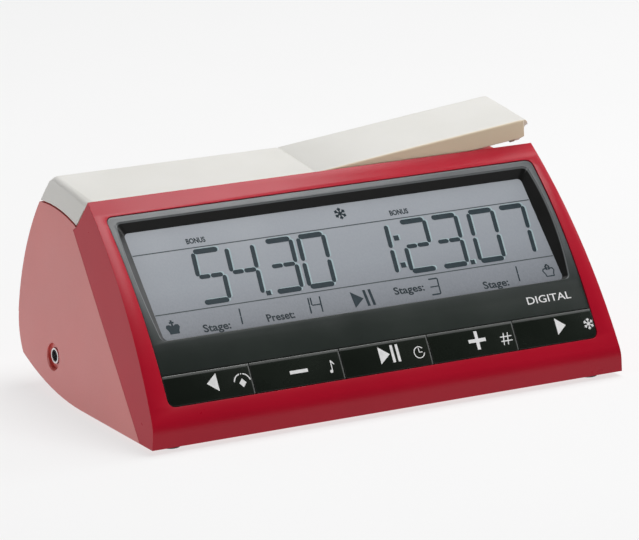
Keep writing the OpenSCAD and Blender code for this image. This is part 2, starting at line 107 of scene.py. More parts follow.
class Nodes:
    """Short calls for building a material's node tree."""

    def __init__(self, material):
        self.tree = material.node_tree

    def add(self, kind, **values):
        node = self.tree.nodes.new(kind)
        for key, value in values.items():
            setattr(node, key, value)
        return node

    def link(self, a, b):
        self.tree.links.new(a, b)

    def coords(self, scale=(1, 1, 1)):
        tex = self.add("ShaderNodeTexCoord")
        mapping = self.add("ShaderNodeMapping")
        mapping.inputs["Scale"].default_value = scale
        self.link(tex.outputs["Object"], mapping.inputs["Vector"])
        return mapping.outputs["Vector"]

    def noise(self, vector, scale, detail=3.0, roughness=0.55):
        node = self.add("ShaderNodeTexNoise")
        node.inputs["Scale"].default_value = scale
        node.inputs["Detail"].default_value = detail
        node.inputs["Roughness"].default_value = roughness
        self.link(vector, node.inputs["Vector"])
        return node.outputs["Fac"]

    def ramp(self, fac, stops):
        node = self.add("ShaderNodeValToRGB")
        ramp = node.color_ramp
        while len(ramp.elements) < len(stops):
            ramp.elements.new(0.5)
        for element, (place, colour) in zip(ramp.elements, stops):
            element.position = place
            element.color = (*colour, 1) if len(colour) == 3 else colour
        self.link(fac, node.inputs["Fac"])
        return node.outputs["Color"]

    def span(self, fac, low, high, to_low, to_high, clamp=True):
        node = self.add("ShaderNodeMapRange", clamp=clamp)
        for key, value in (("From Min", low), ("From Max", high), ("To Min", to_low), ("To Max", to_high)):
            node.inputs[key].default_value = value
        self.link(fac, node.inputs["Value"])
        return node.outputs["Result"]

    def mix(self, fac, a, b):
        node = self.add("ShaderNodeMix", data_type="RGBA")
        for socket, value in ((node.inputs[0], fac), (node.inputs[6], a), (node.inputs[7], b)):
            if hasattr(value, "links"):
                self.link(value, socket)
            else:
                socket.default_value = value if not isinstance(value, tuple) else (*value[:3], 1)
        return node.outputs[2]

    def bump(self, height, strength, distance):
        node = self.add("ShaderNodeBump")
        node.inputs["Strength"].default_value = strength
        node.inputs["Distance"].default_value = distance
        self.link(height, node.inputs["Height"])
        return node.outputs["Normal"]

    def axes(self, space="Object"):
        """The X, Y and Z of a texture coordinate, each apart."""
        split = self.add("ShaderNodeSeparateXYZ")
        self.link(self.add("ShaderNodeTexCoord").outputs[space], split.inputs[0])
        return split.outputs

    def clouded(self, where, scale, tone, other, share=0.35):
        """One tone that drifts into another in soft patches."""
        return self.ramp(self.noise(where, scale, 4), [(share, tone), (1 - share, other)])

    def uneven(self, where, low, high, scale=60):
        """A roughness that wanders between two values, as on handled plastic."""
        return self.span(self.noise(where, scale, 5, 0.6), 0.25, 0.75, low, high)

    def grain(self, where, scale, height, strength=0.5):
        """The fine grain of a moulding, as a bump of this height in metres."""
        return self.bump(self.noise(where, scale, 2), strength, height)


def plastic(name, colour, colour_b, rough, grain=2200, grain_height=0.00002, coat=0.0):
    """Moulded plastic: two close tones, uneven gloss and a fine spark-eroded grain."""
    material, shader = new_material(name)
    n = Nodes(material)
    where = n.coords()
    middle = tuple(0.5 * (a + b) for a, b in zip(colour, colour_b))
    speck = n.span(n.noise(where, 900, 2), 0.3, 0.7, 0, 1)
    n.link(n.mix(speck, n.clouded(where, 22, colour, colour_b), middle), shader.inputs["Base Color"])
    n.link(n.uneven(where, rough - 0.06, rough + 0.06), shader.inputs["Roughness"])
    n.link(n.grain(where, grain, grain_height), shader.inputs["Normal"])
    shader.inputs["Coat Weight"].default_value = coat
    shader.inputs["Coat Roughness"].default_value = 0.2
    return material


def pearl_red(name, colour, flake, amount, rough, specular, coat, ior=1.5):
    """Red plastic with a fine pearl flake in it, satin on top."""
    material, shader = new_material(name)
    n = Nodes(material)
    where = n.coords()
    flakes = n.add("ShaderNodeTexVoronoi")
    flakes.inputs["Scale"].default_value = 2600
    n.link(where, flakes.inputs["Vector"])
    sparkle = n.span(flakes.outputs["Distance"], 0.0, 0.35, amount, 0)
    deep = tuple(c * 0.9 for c in colour)
    base = n.clouded(where, 18, deep, colour, share=0.3)
    n.link(n.mix(sparkle, base, flake), shader.inputs["Base Color"])
    n.link(n.uneven(where, rough - 0.04, rough + 0.04, scale=45), shader.inputs["Roughness"])
    n.link(n.grain(where, 1500, 0.00002, strength=0.45), shader.inputs["Normal"])
    shader.inputs["IOR"].default_value = ior
    shader.inputs["Specular IOR Level"].default_value = specular
    shader.inputs["Coat Weight"].default_value = coat
    shader.inputs["Coat Roughness"].default_value = rough
    return material


def ivory_plastic():
    """Off-white plastic with a little subsurface; its front-facing walls are painted a warm tan as painted
    shade and warm bounce light.
    """
    material, shader = new_material("ivory_plastic")
    n = Nodes(material)
    where = n.coords()
    # painted shade: walls that face the front take a warm tan standing for shade and warm bounce light
    front_painted_shade = n.span(n.axes("Normal")["Y"], -0.95, -0.35, 1, 0)
    pale = n.clouded(where, 22, (0.70, 0.69, 0.655), (0.73, 0.72, 0.69))
    n.link(n.mix(front_painted_shade, pale, (0.84, 0.69, 0.50)), shader.inputs["Base Color"])
    n.link(n.uneven(where, 0.38, 0.48), shader.inputs["Roughness"])
    n.link(n.grain(where, 1300, 0.000015), shader.inputs["Normal"])
    shader.inputs["Specular IOR Level"].default_value = 0.3
    shader.inputs["Subsurface Weight"].default_value = 0.05
    shader.inputs["Subsurface Radius"].default_value = (0.004, 0.0036, 0.003)
    return material


def panel_plastic():
    """Charcoal panel with painted light: a painted highlight along the rim of the display opening, painted
    shade that makes the walls down to the display near-black, and a painted highlight on the face's upper
    border.
    """
    material, shader = new_material("charcoal_panel")
    n = Nodes(material)
    where = n.coords()
    place = n.axes()
    axis = row(0, FACE_C.x, FACE_C.y)
    flat = n.add("ShaderNodeCombineXYZ")
    n.link(n.span(place["Y"], axis.y, axis.y + 1, 0, 1, clamp=False), flat.inputs[1])
    n.link(n.span(place["Z"], axis.z, axis.z + 1, 0, 1, clamp=False), flat.inputs[2])
    length = n.add("ShaderNodeVectorMath", operation="LENGTH")
    n.link(flat.outputs[0], length.inputs[0])
    top = PANEL_TOP * MM
    depth = n.span(length.outputs["Value"], top - 2.0 * MM, top, 1, 0)
    face = n.clouded(where, 26, (0.015, 0.021, 0.018), (0.021, 0.028, 0.024))
    # painted highlight: a pale grey line round the top of the walls; painted shade: the deeper walls go
    # near-black
    rim_highlight_wall_shade = n.mix(n.span(depth, 0.22, 0.30, 0, 1), (0.15, 0.16, 0.165), (0.003, 0.003, 0.003))
    # painted highlight: the face turns a paler grey towards its top
    top_highlight_mask = n.span(place["Z"], on_face(0, TOP_HIGHLIGHT_END).z, on_face(0, TOP_HIGHLIGHT_FULL).z, 0, 1)
    edge = n.clouded(where, 26, (0.08, 0.088, 0.092), (0.10, 0.108, 0.113))
    face = n.mix(top_highlight_mask, face, edge)
    n.link(n.mix(n.span(depth, 0.05, 0.09, 0, 1), face, rim_highlight_wall_shade), shader.inputs["Base Color"])
    n.link(n.uneven(where, 0.3, 0.42), shader.inputs["Roughness"])
    n.link(n.grain(where, 1800, 0.00003), shader.inputs["Normal"])
    shader.inputs["Specular IOR Level"].default_value = 0.4
    return material


def key_plastic():
    """Near-black key plastic, with a painted highlight along the top and the right edge of each key."""
    material, shader = new_material("key_black")
    n = Nodes(material)
    where = n.coords()
    place = n.axes()
    # painted highlight: a paler band along the top of each key and a line along its right edge
    top = n.span(place["Z"], on_face(0, KEY_HIGHLIGHT_END).z, on_face(0, KEY_HIGHLIGHT_END - 0.5).z, 0, 1)
    pitch = n.add("ShaderNodeMath", operation="MODULO")
    left_end = 2.5 * BUTTON_PITCH * MM  # half of the five keys' row
    n.link(n.span(place["X"], -1, 1, left_end - 1, left_end + 1, clamp=False), pitch.inputs[0])
    pitch.inputs[1].default_value = BUTTON_PITCH * MM
    side = n.span(pitch.outputs[0], (BUTTON_PITCH - 0.95) * MM, (BUTTON_PITCH - 0.7) * MM, 0, 1)
    key_highlight = n.add("ShaderNodeMath", operation="MAXIMUM")
    n.link(top, key_highlight.inputs[0])
    n.link(side, key_highlight.inputs[1])
    plain = n.clouded(where, 30, (0.007, 0.010, 0.007), (0.010, 0.014, 0.010))
    n.link(n.mix(key_highlight.outputs[0], plain, (0.11, 0.115, 0.11)), shader.inputs["Base Color"])
    n.link(n.uneven(where, 0.22, 0.30), shader.inputs["Roughness"])
    n.link(n.grain(where, 2600, 0.00001), shader.inputs["Normal"])
    shader.inputs["Specular IOR Level"].default_value = 0.35
    return material


def display_grey():
    """Reflective display: grey with a painted reflection that makes it paler higher up and darker low down,
    and the faint weave of its polariser.
    """
    material, shader = new_material("display_grey")
    n = Nodes(material)
    where = n.coords()
    # painted reflection: the grey is paler higher up and darker low down
    reflection_height = n.span(n.axes()["Z"], FRONT_EDGE.z + 0.036, FRONT_EDGE.z + 0.073, 0, 1)
    painted_reflection_stops = [(0.0, (0.155, 0.17, 0.195)), (0.45, (0.265, 0.29, 0.325)), (1.0, (0.315, 0.34, 0.375))]
    tone = n.ramp(reflection_height, painted_reflection_stops)
    weave = n.noise(n.coords((1, 1, 0.4)), 1400, 2)
    cloud = n.noise(where, 30, 3)
    mottled = n.mix(n.span(cloud, 0.3, 0.7, 0.0, 0.12), tone, (0.26, 0.275, 0.33))
    n.link(n.mix(n.span(weave, 0.3, 0.7, 0, 0.12), mottled, (0.42, 0.44, 0.47)), shader.inputs["Base Color"])
    n.link(n.span(cloud, 0.3, 0.7, 0.32, 0.42), shader.inputs["Roughness"])
    n.link(n.bump(weave, 0.2, 0.00001), shader.inputs["Normal"])
    shader.inputs["Specular IOR Level"].default_value = 0.35
    return material


def ink(name, colour, colour_b, rough=0.45):
    """Printed or switched-on marks: nearly flat, slightly uneven in tone."""
    material, shader = new_material(name)
    n = Nodes(material)
    where = n.coords()
    n.link(n.ramp(n.noise(where, 500, 3), [(0.35, colour), (0.65, colour_b)]), shader.inputs["Base Color"])
    n.link(n.span(n.noise(where, 800, 2), 0.3, 0.7, rough - 0.06, rough + 0.06), shader.inputs["Roughness"])
    shader.inputs["Specular IOR Level"].default_value = 0.2
    return material


def metal(name, colour, rough):
    """Plated metal, drawn out along one axis, a little darker where it is rougher."""
    material, shader = new_material(name)
    n = Nodes(material)
    where = n.coords((1, 1, 6))
    tone = n.noise(where, 400, 3)
    n.link(n.ramp(tone, [(0.3, tuple(c * 0.85 for c in colour)), (0.7, colour)]), shader.inputs["Base Color"])
    n.link(n.span(tone, 0.3, 0.7, rough, rough + 0.15), shader.inputs["Roughness"])
    n.link(n.bump(tone, 0.2, 0.00001), shader.inputs["Normal"])
    shader.inputs["Metallic"].default_value = 1.0
    return material


# painted light: one red plastic is given two colours. The shell's red is painted lighter and pinker as a
# painted highlight, and the frame's red darker as painted shade; their different gloss is their own.
RED = pearl_red("red_pearl", (0.60, 0.045, 0.035), (0.85, 0.34, 0.27), 0.25, 0.40, 1.0, 1.0)
RED_FRONT_SHADED = pearl_red("red_front_shaded", (0.47, 0.004, 0.022), (0.70, 0.10, 0.12), 0.05, 0.30, 0.5, 0.0, 1.34)
IVORY = ivory_plastic()
CHARCOAL = panel_plastic()
KEY_BLACK = key_plastic()
BLACK = plastic("black_plastic", (0.02, 0.02, 0.022), (0.03, 0.03, 0.033), 0.5)
WHITE = plastic("white_plastic", (0.8, 0.8, 0.77), (0.74, 0.74, 0.7), 0.5)
RUBBER = plastic("foot_rubber", (0.018, 0.018, 0.018), (0.03, 0.03, 0.03), 0.75, grain=3000,
                 grain_height=0.00004)
SILICONE = plastic("silicone_grey", (0.2, 0.21, 0.23), (0.25, 0.26, 0.28), 0.7)
BOARD = plastic("board_green", (0.02, 0.16, 0.07), (0.03, 0.2, 0.09), 0.35, coat=0.4)
SLEEVE = plastic("cell_sleeve", (0.05, 0.06, 0.08), (0.35, 0.2, 0.05), 0.25, coat=0.6)
STEEL = metal("plated_steel", (0.72, 0.72, 0.73), 0.22)
DISPLAY = display_grey()
SEGMENT = ink("display_segment", (0.005, 0.019, 0.028), (0.009, 0.026, 0.036))
SHADOW = ink("display_shadow", (0.33, 0.43, 0.46), (0.37, 0.47, 0.50))
PRINT = ink("white_print", (0.82, 0.82, 0.82), (0.9, 0.9, 0.9))

NODE_LOOKS = {
    RED: ["rear_shell", "base_cover", "battery_door"],
    RED_FRONT_SHADED: ["front_frame"],
    IVORY: ["rocker_lever"],
    CHARCOAL: ["display_bezel"],
    DISPLAY: ["lcd_glass"],
    WHITE: ["lcd_reflector", "lcd_holder"],
    SILICONE: ["contact_strips", "keypad_membrane", "keypad_ribbon"],
    BOARD: ["main_board", "keypad_board", "sensor_board", "power_board", "jack_board"],
    BLACK: ["board_components", "battery_tray", "power_switch", "buzzer", "jack_socket"],
    KEY_BLACK: ["button_back", "button_minus", "button_play_pause", "button_plus", "button_forward",
                "power_button"],
    STEEL: ["board_screws", "lever_magnets", "pivot_pin", "stop_plates", "lever_sensors",
            "battery_contacts", "jack_ring", "housing_screws"],
    SLEEVE: ["battery_cells"],
    RUBBER: ["rubber_feet"],
}
EDGE_ROUNDING = {"front_frame": 1.0, "rear_shell": 0.5, "base_cover": 0.25, "battery_door": 0.25,
                 "display_bezel": 0.35, "rubber_feet": 0.2}
KEY_NODES = ["button_back", "button_minus", "button_play_pause", "button_plus", "button_forward"]
EDGE_ROUNDING.update({name: 0.35 for name in KEY_NODES + ["power_button"]})


def soften(obj, width):
    """Rounds the sharp moulded edges of a CAD node with modifiers, and leaves its mesh alone."""
    weld = obj.modifiers.new("weld", "WELD")
    weld.merge_threshold = 0.000002
    flat = obj.modifiers.new("flat", "DECIMATE")
    flat.decimate_type = "DISSOLVE"
    flat.angle_limit = math.radians(0.3)
    bevel = obj.modifiers.new("edges", "BEVEL")
    bevel.width = width * MM
    bevel.segments = 3
    bevel.limit_method = "ANGLE"
    bevel.angle_limit = math.radians(35)
    bevel.harden_normals = True
    bevel.use_clamp_overlap = True


for look, names in NODE_LOOKS.items():
    for name in names:
        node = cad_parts[name]
        node.data.materials.clear()
        node.data.materials.append(look)
        if name in EDGE_ROUNDING:
            soften(node, EDGE_ROUNDING[name])


# ---------------------------------------------------------------- meshes
def make_piece(name, bm, material, body, smooth=False):
    mesh = bpy.data.meshes.new(name)
    bmesh.ops.recalc_face_normals(bm, faces=bm.faces[:])
    for face in bm.faces:
        face.smooth = smooth
    bm.to_mesh(mesh)
    bm.free()
    mesh.materials.append(material)
    obj = bpy.data.objects.new(name, mesh)
    bpy.context.scene.collection.objects.link(obj)
    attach(obj, body)
    return obj


def inlay(bm, loops, surface, low, high):
    """A thin closed plate on a surface. loops is an outline, then its holes, as (across, up) points."""
    rings = []
    for lift in (low, high):
        rings.append([[bm.verts.new(surface(u, v, lift)) for u, v in loop] for loop in loops])
    for bottom, top in zip(*rings):
        for i in range(len(bottom)):
            j = (i + 1) % len(bottom)
            bm.faces.new((bottom[i], bottom[j], top[j], top[i]))
    flat = [[Vector((u, v, 0)) for u, v in loop] for loop in loops]
    for k in (0, 1):
        verts = [v for ring in rings[k] for v in ring]
        for a, b, c in tessellate_polygon(flat):
            if len({a, b, c}) == 3:
                bm.faces.new((verts[a], verts[b], verts[c]))


def rod(a, b, width, ends=4):
    """Outline of a bar from a to b with round ends."""
    a, b = Vector(a), Vector(b)
    along = (b - a).normalized()
    start = math.atan2(along.y, along.x)
    points = []
    for centre, turn in ((b, -math.pi / 2), (a, math.pi / 2)):
        for i in range(ends + 1):
            angle = start + turn + math.pi * i / ends
            points.append((centre.x + width / 2 * math.cos(angle), centre.y + width / 2 * math.sin(angle)))
    return points


def circle(x, y, r, count):
    angles = [2 * math.pi * i / count for i in range(count)]
    return [(x + r * math.cos(a), y + r * math.sin(a)) for a in angles]


def arc_band(x, y, r, width, a0, a1, count=16):
    """Outline of a curved bar, angles in degrees."""
    angles = [math.radians(a0 + (a1 - a0) * i / count) for i in range(count + 1)]
    outer = [(x + r * math.cos(a), y + r * math.sin(a)) for a in angles]
    inner = [(x + (r - width) * math.cos(a), y + (r - width) * math.sin(a)) for a in angles]
    return outer + inner[::-1]


# Which of the seven segments each numeral lights: a top, b c right, d bottom, e f left, g middle.
NUMERALS = {"0": "abcdef", "1": "bc", "2": "abged", "3": "abgcd", "4": "fgbc", "5": "afgcd", "7": "abc"}
BIG = {"width": 11.6, "low": 2.5, "high": 25.5, "slant": 0.145, "flat": 2.35, "stem": 1.9, "gap": 1.4}
SMALL = {"width": 4.2, "low": -9.4, "high": -2.2, "slant": 0.145, "flat": 0.62, "stem": 0.62, "gap": 0.3}


def numeral_bars(character, x, size):
    """Bars of one numeral whose left stem's middle is at x."""
    low, high, gap = size["low"], size["high"], size["gap"]
    middle = (low + high) / 2
    left, right = x, x + size["width"]

    def bar(x0, t0, x1, t1, width):
        lean = size["slant"]
        return rod((x0 + lean * (t0 - middle), t0), (x1 + lean * (t1 - middle), t1), width)

    flat, stem = size["flat"], size["stem"]
    centre = (left + right) / 2
    bars = {
        "a": [bar(left + gap, high, right - gap, high, flat)],
        "d": [bar(left + gap, low, right - gap, low, flat)],
        "b": [bar(right, high - gap, right, middle + gap, stem)],
        "c": [bar(right, middle - gap, right, low + gap, stem)],
        "f": [bar(left, high - gap, left, middle + gap, stem)],
        "e": [bar(left, middle - gap, left, low + gap, stem)],
        "g": [bar(left + gap, middle, centre - gap * 0.9, middle, flat * 0.82),
              bar(centre + gap * 0.6, middle, right - gap, middle, flat * 0.82)],
    }
    return [outline for key in NUMERALS[character] for outline in bars[key]]


def lean_at(x, t):
    """Where x comes to at the height t on the slanted big numerals."""
    return x + BIG["slant"] * (t - (BIG["low"] + BIG["high"]) / 2)


DIGIT_STEP = 15.2
DOT_ROOM = 2.7
LEFT_START, RIGHT_START = -68.9, 27.5


def big_marks(start, text):
    """Outlines of a row of big numerals and points."""
    outlines, x = [], start
    for character in text:
        if character == ".":
            outlines.append(square_dot(lean_at(x - 1.15, 2.6), 2.6, 1.05))
            x += DOT_ROOM
        else:
            outlines += numeral_bars(character, x, BIG)
            x += DIGIT_STEP
    return outlines


def square_dot(x, t, half=1.2):
    """A dot that leans with the numerals."""
    low, high = t - half, t + half
    return [(x - half, low), (x + half, low), (x + half * 1.1, high), (x - half * 0.9, high)]


def king(x, y, size, width=None):
    """A plain crowned chess-king mark, solid, or as an outline of that line width."""
    right = [(0.34, -0.46), (0.36, -0.26), (0.5, 0.02), (0.42, 0.2), (0.22, 0.22), (0.07, 0.12),
             (0.07, 0.3), (0.17, 0.3), (0.17, 0.42), (0.07, 0.42), (0.07, 0.54)]
    left = [(-u, v) for u, v in reversed(right)]
    points = [(x + u * size, y + v * size) for u, v in left[-1:] + right + left[:-1]]
    if width is None:
        return [[points]]
    return [[rod(a, b, width, 3)] for a, b in zip(points, points[1:] + points[:1])]


def snowflake(x, y, r, width):
    """Six arms, each with two short barbs."""
    bars = []
    for i in range(3):
        a = math.radians(90 + 60 * i)
        d = Vector((math.cos(a), math.sin(a))) * r
        c = Vector((x, y))
        bars.append([rod(c - d, c + d, width, 3)])
        for sign in (1, -1):
            tip = c + d * sign * 0.58
            for turn in (40, -40):
                b = a + math.radians(turn) + (0 if sign == 1 else math.pi)
                bars.append([rod(tip, tip + Vector((math.cos(b), math.sin(b))) * r * 0.36, width * 0.9, 3)])
    return bars


def play_pause(x, y, size):
    """A triangle and two bars; x is the triangle's left edge."""
    return [[[(x, y - 0.5 * size), (x + 0.68 * size, y), (x, y + 0.5 * size)]]] + [
        [[(x + k * size, y - 0.5 * size), (x + (k + 0.17) * size, y - 0.5 * size),
          (x + (k + 0.17) * size, y + 0.5 * size), (x + k * size, y + 0.5 * size)]] for k in (0.78, 1.12)]


def flat_lettering(body, size, x, y, width, offset):
    """A flat mesh of a word from x across and y up, drawn out to a width, in Blender's own plain font."""
    curve = bpy.data.curves.new("lettering", "FONT")
    curve.body = body
    curve.size = size
    curve.offset = offset
    curve.resolution_u = 3
    obj = bpy.data.objects.new("lettering", curve)
    bpy.context.scene.collection.objects.link(obj)
    bpy.context.view_layer.update()
    mesh = bpy.data.meshes.new_from_object(obj.evaluated_get(bpy.context.evaluated_depsgraph_get()))
    bpy.data.objects.remove(obj)
    bpy.data.curves.remove(curve)
    xs = [v.co.x for v in mesh.vertices]
    stretch = width / (max(xs) - min(xs))
    flat = bmesh.new()
    flat.from_mesh(mesh)
    bpy.data.meshes.remove(mesh)
    for vert in flat.verts:
        vert.co = Vector((x + vert.co.x * stretch, y + vert.co.y, 0))
    return flat


def add_lettering(bm, flat, surface, low, high):
    """Lays a flat lettering mesh on a surface as a thin closed plate."""
    bmesh.ops.remove_doubles(flat, verts=flat.verts[:], dist=1e-5)
    maps = []
    for lift in (low, high):
        made = {v: bm.verts.new(surface(v.co.x, v.co.y, lift)) for v in flat.verts}
        for face in flat.faces:
            bm.faces.new([made[v] for v in face.verts])
        maps.append(made)
    for edge in flat.edges:
        if len(edge.link_faces) == 1:
            a, b = edge.verts
            bm.faces.new((maps[0][a], maps[0][b], maps[1][b], maps[1][a]))
    flat.free()


def marks(name, shapes, surface, material, body, low, high, lettering=()):
    """One piece of outlines and words, laid between two heights above a surface."""
    bm = bmesh.new()
    for loops in shapes:
        inlay(bm, loops, surface, low, high)
    for flat in lettering:
        add_lettering(bm, flat, surface, low, high)
    return make_piece(name, bm, material, body)


# ---------------------------------------------------------------- the display
def shifted(shapes, dx, dy):
    return [[[(u + dx, v + dy) for u, v in loop] for loop in loops] for loops in shapes]


clock_digits = [[outline] for outline in big_marks(LEFT_START, "54.30") + big_marks(RIGHT_START, "23.07")
                + numeral_bars("1", RIGHT_START - 18.4, BIG)]
clock_digits += [[square_dot(lean_at(24.2, t), t)] for t in (18.7, 6.0)]
marks("display_shadows", shifted(clock_digits, 0.75, 0.3), on_lcd, SHADOW, "housing", 0.008, 0.016)
marks("display_numerals", clock_digits, on_lcd, SEGMENT, "housing", 0.012, 0.035)

small = []
for character, x in (("1", -61.4), ("1", -29.9), ("4", -24.6), ("3", 31.0), ("1", 69.3)):
    small += [[outline] for outline in numeral_bars(character, x, SMALL)]
marks("display_counters", small, on_lcd, SEGMENT, "housing", 0.012, 0.03)

rules = [[[(-93.4, t - 0.22), (93.4, t - 0.22), (93.4, t + 0.22), (-93.4, t + 0.22)]] for t in (0.0, 27.5)]
RULE = ink("display_rule", (0.04, 0.055, 0.06), (0.06, 0.075, 0.08))
marks("display_rules", rules, on_lcd, RULE, "housing", 0.01, 0.03)

icons = king(-87.8, -6.2, 6.2) + king(88.3, -6.6, 5.4, 0.5)
icons += snowflake(4.2, 33.5, 2.5, 0.7)
icons += play_pause(-5.8, -6.2, 7.4)
marks("display_icons", icons, on_lcd, SEGMENT, "housing", 0.012, 0.035)

LABELS = (
    # word, letter size, place across, place up, width
    ("BONUS", 3.3, -68.3, 29.5, 8.6),
    ("BONUS", 3.3, 26.4, 29.3, 8.8),
    ("Stage:", 4.7, -75.3, -10.3, 12.2),
    ("Preset:", 4.7, -46.6, -10.0, 12.6),
    ("Stages:", 4.7, 13.9, -6.8, 14.2),
    ("Stage:", 4.7, 55.3, -10.4, 12.2),
)
LABEL = ink("display_label", (0.010, 0.020, 0.028), (0.016, 0.030, 0.038))
LABEL_BOLD = 0.11
marks("display_labels", [], on_lcd, LABEL, "housing", 0.01, 0.03,
      [flat_lettering(*label, LABEL_BOLD) for label in LABELS])


# ---------------------------------------------------------------- printing on the panel and the buttons
def face_up(x, v, lift):
    """The front face with v counted upwards, so that lettering reads the right way up."""
    return on_face(x, -v, lift)


marks("panel_word", [], face_up, PRINT, "housing", -0.33, -0.3,
      [flat_lettering("DIGITAL", 4.55, 71.4, -73.9, 21.4, 0.02)])

KEY_MARKS = {
    "back": [[[(-81.9, -85.2), (-77.1, -88.9), (-77.1, -81.5)]],
             [arc_band(-66.3, -87.0, 3.9, 0.5, 12, 78)], [arc_band(-66.3, -87.0, 3.9, 0.5, 86, 94, 3)],
             [arc_band(-66.3, -87.0, 3.9, 0.5, 102, 168)],
             [[(-66.3, -88.9), (-64.7, -87.1), (-66.3, -85.3), (-67.9, -87.1)]]],
    "minus": [[[(-44.8, -86.9), (-36.6, -86.9), (-36.6, -85.5), (-44.8, -85.5)]],
              [circle(-26.2, -88.3, 0.7, 14)], [rod((-25.7, -88.3), (-25.7, -83.9), 0.4, 3)],
              [rod((-25.7, -83.9), (-24.5, -85.4), 0.45, 3)]],
    "play_pause": play_pause(-3.2, -85.2, 7.2) + [[arc_band(15.2, -86.4, 2.55, 0.4, 40, 350)],
                                                  [rod((15.2, -86.4), (15.2, -84.6), 0.38, 3)],
                                                  [rod((15.2, -86.4), (16.6, -86.4), 0.38, 3)]],
    "plus": [[[(39.0, -86.2), (42.4, -86.2), (42.4, -89.3), (43.9, -89.3), (43.9, -86.2), (47.2, -86.2),
               (47.2, -84.7), (43.9, -84.7), (43.9, -81.5), (42.4, -81.5), (42.4, -84.7), (39.0, -84.7)]]]
            + [[rod((56.3 + k, -89.0), (57.1 + k, -84.2), 0.45, 3)] for k in (-1.1, 0.9)]
            + [[rod((54.3, -86.6 + k), (59.4, -86.6 + k), 0.45, 3)] for k in (-0.9, 0.95)],
    "forward": [[[(81.7, -88.6), (86.4, -85.0), (81.7, -81.4)]]] + snowflake(97.4, -86.0, 2.3, 0.45),
}
for key, shapes in KEY_MARKS.items():
    marks(f"print_{key}", shapes, face_up, PRINT, f"key_{key}", 0.005, 0.03)


# ---------------------------------------------------------------- the lever
LEVER_FRONT, LEVER_TOP_FRONT, LEVER_SKIRT = 64.0, 84.9, 77.0
LEVER_TOP_BACK = Vector((98.6, 89.6))
LEVER_WALL = 2.2
BACK_POINTS = (Vector((105.7, 77.2)), Vector((117.7, 52.8)), Vector((121.6, 31.6)))
SEAM_POINTS = (Vector((72.6, 72.8)), Vector((87.3, 76.2)), Vector((104.7, 76.6)))
HOLLOW_END, EAR_START = 100.0, 102.5


def circle_through(a, b, c):
    d = 2 * (a.x * (b.y - c.y) + b.x * (c.y - a.y) + c.x * (a.y - b.y))
    qa, qb, qc = a.dot(a), b.dot(b), c.dot(c)
    centre = Vector(((qa * (b.y - c.y) + qb * (c.y - a.y) + qc * (a.y - b.y)) / d,
                     (qa * (c.x - b.x) + qb * (a.x - c.x) + qc * (b.x - a.x)) / d))
    return centre, (a - centre).length


BACK_C, BACK_R = circle_through(*BACK_POINTS)
SEAM_C, SEAM_R = circle_through(*SEAM_POINTS)
SEAM_R += 0.5


def back_at(z, inset=0.0):
    return Vector((BACK_C.x + math.sqrt((BACK_R - inset) ** 2 - (z - BACK_C.y) ** 2), z))


def seam_at(y):
    return Vector((y, SEAM_C.y + math.sqrt(SEAM_R ** 2 - (y - SEAM_C.x) ** 2)))


def half_at(z):
    return HALF_W - 0.3 - END_LEAN * z


END_ROUND = 2.2
LEVER_END = 104.5
GROOVE = 0.25
TOP_POINTS = (1, 2, 3)


def lever_loops():
    """Three closed side outlines with the same count: hollow, solid, and a slanted end pad."""
    top_slope = (LEVER_TOP_BACK.y - LEVER_TOP_FRONT) / (LEVER_TOP_BACK.x - LEVER_FRONT)
    back_low = seam_at(104.9)
    top_z = LEVER_TOP_BACK.y
    for _ in range(4):
        top_z = LEVER_TOP_FRONT + (back_at(top_z).x - LEVER_FRONT) * top_slope
    zs = [top_z + (back_low.y - top_z) * i / 5 for i in range(6)]
    outer = [Vector((LEVER_FRONT, LEVER_SKIRT)), Vector((LEVER_FRONT, LEVER_TOP_FRONT))]
    outer += [Vector((LEVER_FRONT + 17, LEVER_TOP_FRONT + 17 * top_slope))]
    outer += [back_at(z) for z in zs]
    inner_top = LEVER_TOP_BACK.y - LEVER_WALL - 0.3
    inner_zs = [back_low.y + (inner_top - back_low.y) * i / 5 for i in range(6)]
    hollow = [back_at(z, LEVER_WALL) for z in inner_zs]
    inner_front = LEVER_FRONT + LEVER_WALL
    hollow += [Vector((inner_front, LEVER_TOP_FRONT - LEVER_WALL)),
               Vector((inner_front, LEVER_SKIRT + 2)), Vector((inner_front, LEVER_SKIRT))]
    seam = [seam_at(102.0 - 5.2 * i) for i in range(6)]
    solid = seam + [seam_at(72.9), Vector((72.9, LEVER_SKIRT)), Vector((66.2, LEVER_SKIRT))]
    ear_low, ear_high = seam_at(73.2), Vector((LEVER_FRONT + 0.35, LEVER_TOP_FRONT - 0.3))
    slant = [ear_low + (ear_high - ear_low) * k for k in (0.0, 0.22, 0.44, 0.66)]
    pad_outer = [slant[3], ear_high] + outer[2:]
    pad = seam + slant[:3]
    return outer + hollow, outer + solid, pad_outer + pad


def sunk(loop, depth):
    """The outline with its top lowered by depth."""
    return [Vector((p.x, p.y - (depth if i in TOP_POINTS else 0))) for i, p in enumerate(loop)]


def blend(a, b, k):
    return [p.lerp(q, k) for p, q in zip(a, b)]


